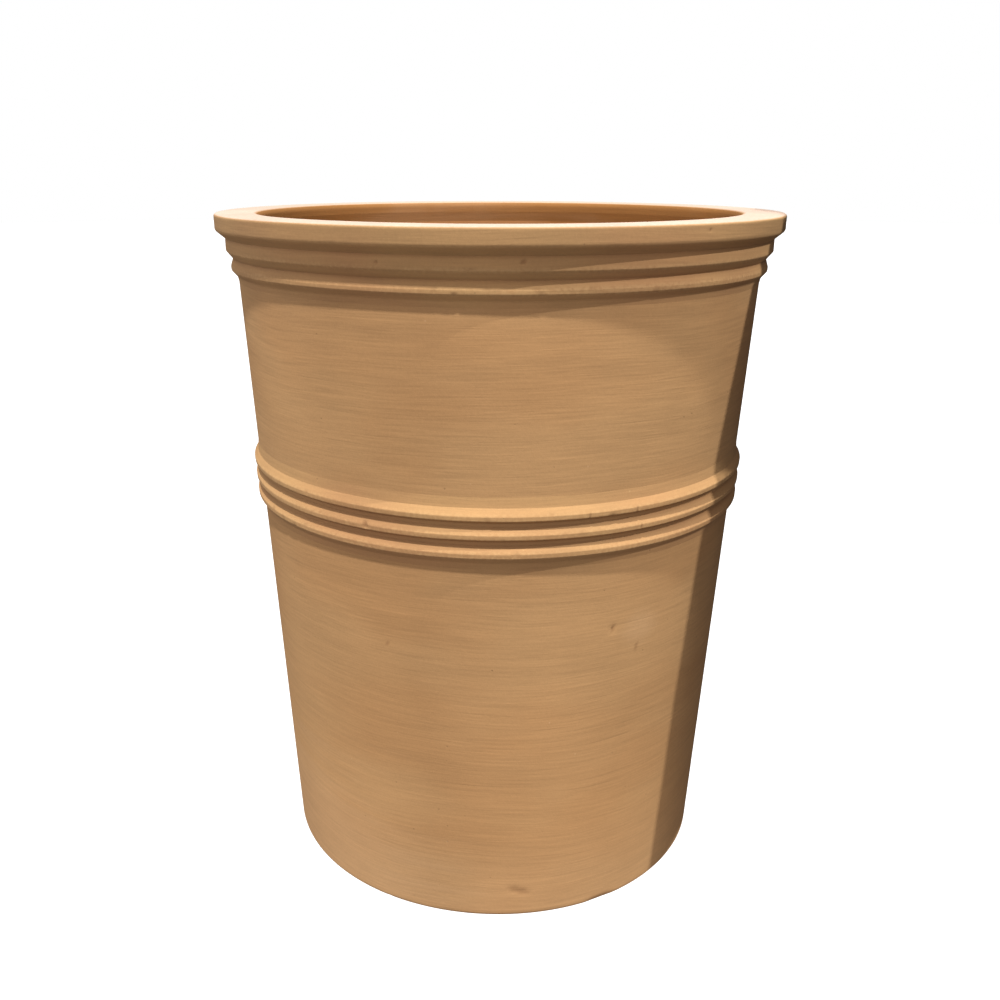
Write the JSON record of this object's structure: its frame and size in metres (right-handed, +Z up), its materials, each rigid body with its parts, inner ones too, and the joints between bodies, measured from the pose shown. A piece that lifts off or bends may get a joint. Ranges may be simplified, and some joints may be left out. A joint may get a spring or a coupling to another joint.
{
  "type": "plant pot",
  "caption": "Tall tapered round terracotta planter with a thick rim, a stepped collar under it, a beaded band round its waist and a drain hole in its floor.",
  "frame": {"origin": "centre of the round footprint, on the ground", "axes": "+Z up along the axis of revolution; +X and +Y are level and interchangeable, because the pot is the same all round"},
  "size_m": [0.5839, 0.584, 0.7],
  "materials": {
    "wall_clay": "unglazed, matt, finely turned",
    "moulding_clay": "unglazed, matt, rubbed pale on its edges",
    "floor_clay": "unglazed, matt, rough"
  },
  "bodies": {
    "root": {"floor_slab": "floor_clay", "corner_coil": "floor_clay", "lower_wall": "wall_clay", "upper_wall": "wall_clay", "waist_band": "moulding_clay", "collar": "moulding_clay", "rim": "moulding_clay"}
  },
  "joints": []
}
